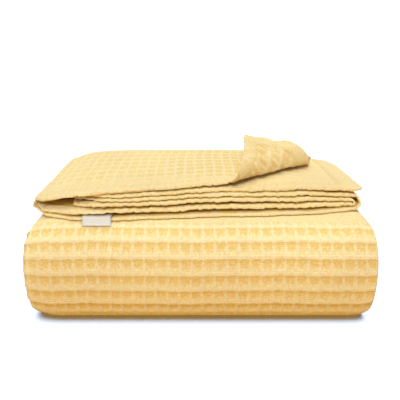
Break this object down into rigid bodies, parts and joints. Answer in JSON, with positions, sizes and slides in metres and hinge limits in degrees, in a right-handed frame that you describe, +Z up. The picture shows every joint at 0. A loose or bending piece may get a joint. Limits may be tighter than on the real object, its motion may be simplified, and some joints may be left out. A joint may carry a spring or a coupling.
{
  "type": "waffle weave cotton blanket, folded",
  "caption": "Folded waffle weave cotton blanket: a strip of folded layers rolled flat, its last pass loose on top, one corner turned up, with a blank woven label.",
  "frame": {"origin": "middle of the blanket's footprint, on the surface that it lies on", "axes": "+X to the right along the folded front, +Y towards the back, +Z up"},
  "size_m": [0.4034, 0.3128, 0.1816],
  "materials": {
    "waffle_cotton": "matte",
    "label_tape": "matte"
  },
  "bodies": {
    "root": {"blanket_cloth": "waffle_cotton", "hem_label": "label_tape"}
  },
  "joints": []
}
